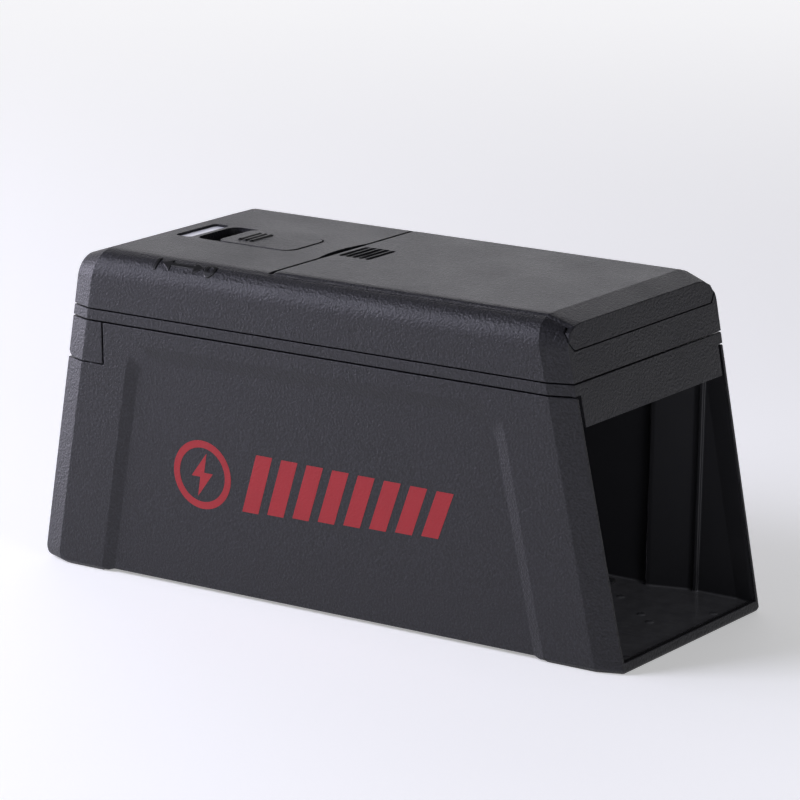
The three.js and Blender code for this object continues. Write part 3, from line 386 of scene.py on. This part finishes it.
def mark_mask(look):
    """1 on the bar, the double arrow and the ring raised on the near shoulder."""
    bar_mark, arrow_mark, ring_mark = (
        {name: value * MM for name, value in values.items()}
        for values in (BAR_MARK, ARROW_MARK, RING_MARK)
    )
    x = look.along("X")
    across = look.away(look.along("Y"), MARKS_Y * MM)
    from_bar = look.away(x, bar_mark["x"])
    bar = look.times(look.within(from_bar, bar_mark["half_width"]),
                     look.within(across, bar_mark["half_length"]))
    from_arrow = look.away(x, arrow_mark["x"])
    stem = look.times(look.within(from_arrow, arrow_mark["half_length"]),
                      look.within(across, arrow_mark["half_width"]))
    past_stem = look.minus(from_arrow, arrow_mark["head"])
    taper = look.math("ADD", across, look.times(past_stem, ARROW_SLOPE))
    heads = look.times(look.within(taper, arrow_mark["head_half"]),
                       look.math("GREATER_THAN", past_stem, 0.0))
    from_ring = look.away(x, ring_mark["x"])
    squares = look.math("ADD", look.times(from_ring, from_ring), look.times(across, across))
    radius = look.math("SQRT", squares)
    ring = look.times(look.within(radius, ring_mark["outer"]),
                      look.math("GREATER_THAN", radius, ring_mark["inner"]))
    marks = bar
    for shape in (stem, heads, ring):
        marks = look.math("ADD", marks, shape, clamp=True)
    return look.times(marks, look.math("GREATER_THAN", look.along("Z"), MARKS_LOWEST * MM))


def ridge_painted_shade_mask(look):
    """1 on the finger ridges that stand above the slider's flat top, which are painted near black as
    painted shade.
    """
    return look.span(look.along("Z"), (SLIDER_TOP + 0.05) * MM, (SLIDER_TOP + 0.2) * MM)


def brushed_metal(name, colour, roughness, lines=(60, 2500, 2500), tarnish=0.25):
    """Rolled or drawn metal: fine lines, by default along X, cloudy stains and paler worn edges."""
    look = Shader(name)
    drawn = look.noise(1.0, 3, 0.6, look.stretched(lines))
    clouds = look.noise(16 * MM, 4, 0.65)
    base = look.mix(look.span(clouds, 0.3, 0.8), colour, shade(colour, 1 - tarnish))
    base = look.mix(look.times(look.edges(0.3 * MM), 0.5), base, shade(colour, 1.15))
    uneven = look.span(clouds, 0.2, 0.9, roughness, roughness + 0.16)
    uneven = look.math("ADD", uneven, look.span(drawn, 0.2, 0.8, -0.05, 0.05))
    look.set(
        Base_Color=base,
        Metallic=1.0,
        Roughness=uneven,
        Anisotropic=0.4,
        Normal=look.bump(drawn, 0.006 * MM, 0.6),
    )
    return look.material


def board_material():
    """Green solder mask over copper tracks."""
    look = Shader("circuit_laminate")
    weave = look.cells(4.2 * MM, "DISTANCE_TO_EDGE")
    tracks = look.span(weave, 0.10, 0.13)
    grain = look.noise(1.5 * MM, 3)
    mask = look.mix(grain, (0.010, 0.085, 0.035), (0.016, 0.120, 0.050))
    copper = look.mix(grain, (0.030, 0.150, 0.055), (0.045, 0.190, 0.070))
    look.set(
        Base_Color=look.mix(tracks, copper, mask),
        Roughness=look.span(grain, 0.2, 0.8, 0.28, 0.42),
        Normal=look.bump(tracks, -0.03 * MM, 0.8),
        Coat_Weight=0.3,
    )
    return look.material


def component_material():
    """Matte black epoxy of moulded components."""
    look = Shader("component_epoxy")
    grain = look.noise(0.5 * MM, 3)
    clouds = look.noise(7 * MM, 3)
    look.set(
        Base_Color=look.mix(clouds, (0.012, 0.012, 0.013), (0.028, 0.027, 0.027)),
        Roughness=look.span(grain, 0.2, 0.8, 0.38, 0.58),
        Normal=look.bump(grain, 0.02 * MM),
    )
    return look.material


def light_material(name, colour):
    """Tinted clear body of an indicator light."""
    look = Shader(name)
    swirl = look.noise(1.6 * MM, 2)
    look.set(
        Base_Color=look.mix(swirl, colour, shade(colour, 0.75)),
        Roughness=look.span(swirl, 0.2, 0.8, 0.08, 0.16),
        Transmission_Weight=0.55,
        IOR=1.54,
    )
    return look.material


def cell_material():
    """Printed cell jacket: a dark sleeve, a copper-coloured shoulder band and bare ends."""
    look = Shader("cell_jacket")
    first, pitch, length = -12.6 * MM, 50 * MM, 49.5 * MM
    foot_end, band_start, tip_start = 1.2 * MM, 35 * MM, 47 * MM
    along = look.math("WRAP", look.minus(look.along("X"), first), pitch, 0.0)
    near_row = look.within(look.along("Y"), 0.0)
    from_minus = look.mix(near_row, look.minus(length, along), along, "FLOAT")
    band = look.math("GREATER_THAN", from_minus, band_start)
    foot = look.within(from_minus, foot_end)
    tip = look.math("GREATER_THAN", from_minus, tip_start)
    bare = look.math("ADD", foot, tip, clamp=True)
    print_wear = look.noise(9 * MM, 4)
    sleeve = look.mix(print_wear, (0.020, 0.021, 0.026), (0.034, 0.035, 0.042))
    copper = look.mix(print_wear, (0.50, 0.24, 0.10), (0.60, 0.31, 0.15))
    steel = look.mix(print_wear, (0.62, 0.62, 0.63), (0.76, 0.76, 0.77))
    look.set(
        Base_Color=look.mix(bare, look.mix(band, sleeve, copper), steel),
        Metallic=look.math("ADD", look.times(band, 0.6), bare, clamp=True),
        Roughness=look.span(print_wear, 0.2, 0.8, 0.24, 0.36),
        Normal=look.bump(look.noise(0.8 * MM, 2), 0.01 * MM),
        Coat_Weight=0.25,
        Coat_Roughness=0.15,
    )
    return look.material


def ink_material():
    """Pad-printed red ink that lies thin over the grain of the plastic."""
    look = Shader("red_ink")
    normal, fine = grained(look, grain=0.14 * MM)
    thin = look.span(look.noise(0.30 * MM, 3, 0.6), 0.66, 0.80)
    clouds = look.noise(12 * MM, 3)
    ink = look.mix(clouds, (0.29, 0.014, 0.020), (0.34, 0.017, 0.024))
    look.set(
        Base_Color=look.mix(look.times(thin, 0.5), ink, (0.11, 0.012, 0.015)),
        Roughness=look.span(fine, 0.2, 0.8, 0.50, 0.62),
        Normal=normal,
        Specular_IOR_Level=0.35,
    )
    return look.material


# ---------------------------------------------------------------- finish of the CAD pieces
EDGE_RADIUS = {
    "body_shell": 0.35 * MM,
    "upper_housing": 0.09 * MM,
    "middle_frame": 0.25 * MM,
    "battery_cover": 0.3 * MM,
    "hinge_leaf": 0.25 * MM,
    "switch_slider": 0.2 * MM,
}
SMALL_RADIUS = 0.12 * MM        # of every other piece
FLAT_ANGLE = 0.4                # degrees; facets that meet at less become one face
EDGE_ANGLE = 14                 # degrees; only edges sharper than this get a radius


def soften(name):
    """Welds the faceted solid and gives its edges a small true radius."""
    piece = NODES[name]
    if "custom_normal" in piece.data.attributes:
        piece.data.attributes.remove(piece.data.attributes["custom_normal"])
    for face in piece.data.polygons:
        face.use_smooth = True
    weld = piece.modifiers.new("weld", "WELD")
    weld.merge_threshold = 0.002 * MM
    flat = piece.modifiers.new("flat faces", "DECIMATE")
    flat.decimate_type = "DISSOLVE"
    flat.angle_limit = math.radians(FLAT_ANGLE)
    bevel = piece.modifiers.new("edge radius", "BEVEL")
    bevel.width = EDGE_RADIUS.get(name, SMALL_RADIUS)
    bevel.segments = 2
    bevel.limit_method = "ANGLE"
    bevel.angle_limit = math.radians(EDGE_ANGLE)
    bevel.use_clamp_overlap = False
    bevel.miter_outer = "MITER_ARC"
    even = piece.modifiers.new("even normals", "WEIGHTED_NORMAL")
    even.keep_sharp = True


def paint(material, *names):
    for name in names:
        mesh = NODES[name].data
        mesh.materials.clear()
        mesh.materials.append(material)


def numbered(stem, count):
    return [f"{stem}_{i + 1}" for i in range(count)]


def near_and_far(*stems):
    return [f"{stem}_{side}" for stem in stems for side in ("near", "far")]


def finish_cad_pieces():
    # the tray's smooth inside takes the lighter inside colour, which is painted light
    tray = moulded("frame_plastic", shade(GRAPHITE, 0.95), 0.46, tray_mask, INSIDE_PAINTED_LIGHTER, 0.24)
    steel = brushed_metal("zinc_plated_steel", (0.62, 0.62, 0.60), 0.26, (900, 900, 900), 0.35)
    # painted light: the tunnel's inside is coloured lighter than the outer plastic, and its floor paler
    # still
    paint(moulded("tub_shell", GRAPHITE, 0.46, tunnel_mask, tunnel_painted_light, 0.16), "body_shell")
    paint(moulded("housing_shell", GRAPHITE, 0.46, mark_mask, BLACK, 0.34), "upper_housing")
    paint(moulded("cover_shell", GRAPHITE, 0.46), "hinge_leaf", "battery_cover")
    # painted shade: the switch's finger ridges are coloured near black, darker than the rest of the
    # slider
    paint(moulded("switch_plastic", GRAPHITE, 0.46, ridge_painted_shade_mask, BLACK, 0.40), "switch_slider")
    paint(tray, "middle_frame")
    paint(moulded("cup_plastic", (0.035, 0.034, 0.036), 0.38), "bait_cup")
    paint(brushed_metal("rolled_steel", (0.60, 0.60, 0.61), 0.24),
          "kill_plate_rear", "kill_plate_middle", "kill_plate_front")
    paint(steel, *numbered("plate_screw", 6), *numbered("housing_screw", 4), *numbered("board_screw", 2))
    paint(steel, *near_and_far("hinge_pin", "hinge_leaf_screw", "battery_spring", "battery_terminal"),
          "battery_bridge_plate")
    paint(brushed_metal("spring_brass", (0.70, 0.50, 0.20), 0.26),
          *near_and_far("contact_riser", "spring_contact"))
    paint(board_material(), "circuit_board")
    paint(component_material(), "controller_chip", "hv_capacitor", "switch_body", "switch_lever")
    paint(brushed_metal("transformer_laminate", (0.30, 0.29, 0.28), 0.42), "hv_transformer")
    paint(light_material("green_light", (0.05, 0.65, 0.14)), "kill_light")
    paint(light_material("red_light", (0.75, 0.04, 0.03)), "battery_light")
    paint(cell_material(), *numbered("battery_cell", 4))
    for name in NODES:
        soften(name)


# ---------------------------------------------------------------- new pieces
def new_piece(name, bm, material, body):
    """A new flat-faced object from the mesh, riding on a body."""
    bmesh.ops.recalc_face_normals(bm, faces=bm.faces)
    mesh = bpy.data.meshes.new(name)
    bm.to_mesh(mesh)
    bm.free()
    mesh.materials.append(material)
    piece = bpy.data.objects.new(name, mesh)
    bpy.context.scene.collection.objects.link(piece)
    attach(piece, body)


def prism(bm, outline, push):
    """A flat outline of points, and the same outline moved by push, closed into one solid."""
    near = [bm.verts.new(p) for p in outline]
    far = [bm.verts.new(Vector(p) + push) for p in outline]
    bm.faces.new(near)
    bm.faces.new(far[::-1])
    for i in range(len(near)):
        j = (i + 1) % len(near)
        bm.faces.new((near[i], near[j], far[j], far[i]))


def ring_prism(bm, outer, inner, push):
    """The same for a closed band between two outlines with as many points each."""
    loops = [[bm.verts.new(Vector(p) + shift) for p in line]
             for shift in (Vector(), push) for line in (outer, inner)]
    outer_near, inner_near, outer_far, inner_far = loops
    for i in range(len(outer)):
        j = (i + 1) % len(outer)
        bm.faces.new((outer_near[i], outer_near[j], inner_near[j], inner_near[i]))
        bm.faces.new((outer_far[j], outer_far[i], inner_far[i], inner_far[j]))
        bm.faces.new((outer_near[j], outer_near[i], outer_far[i], outer_far[j]))
        bm.faces.new((inner_near[i], inner_near[j], inner_far[j], inner_far[i]))


def on_panel(x, z):
    """A point on the sunken near panel, given in millimetres along and up."""
    panel = BASE_HALF_WIDTH + SIDE_FLARE * z - PANEL_DEPTH
    return Vector((x, -panel - INK["gap"], z)) * MM


def circle_on_panel(radius):
    turns = [2 * math.pi * i / RING["turns"] for i in range(RING["turns"])]
    return [on_panel(RING["x"] + radius * math.cos(a), RING["z"] + radius * math.sin(a)) for a in turns]


def add_side_print():
    """Generic red print: a ringed flash and a row of slanted bars that shorten towards the mouth."""
    bm = bmesh.new()
    push = Vector((0, -INK["thickness"] * MM, 0))
    ring_prism(bm, circle_on_panel(RING["outer"]), circle_on_panel(RING["inner"]), push)
    half_flash = [(2.2, 8.6), (-5.0, -0.9), (-0.9, -0.9)]
    flash = half_flash + [(-x, -z) for x, z in half_flash]
    prism(bm, [on_panel(RING["x"] + x, RING["z"] + z) for x, z in flash], push)
    for i in range(BARS["count"]):
        rear = BARS["first"] + BARS["pitch"] * i
        front = rear + BARS["width"]
        low, high = BARS["bottom"] + BARS["rise"] * i, BARS["top"] - BARS["fall"] * i
        corners = ((rear, low), (front, low), (front + BARS["slant"], high), (rear + BARS["slant"], high))
        prism(bm, [on_panel(x, z) for x, z in corners], push)
    new_piece("side_print", bm, ink_material(), "base")


# ---------------------------------------------------------------- assembly
add_camera()
add_studio()
add_floor()
finish_cad_pieces()
add_side_print()

bpy.context.view_layer.update()
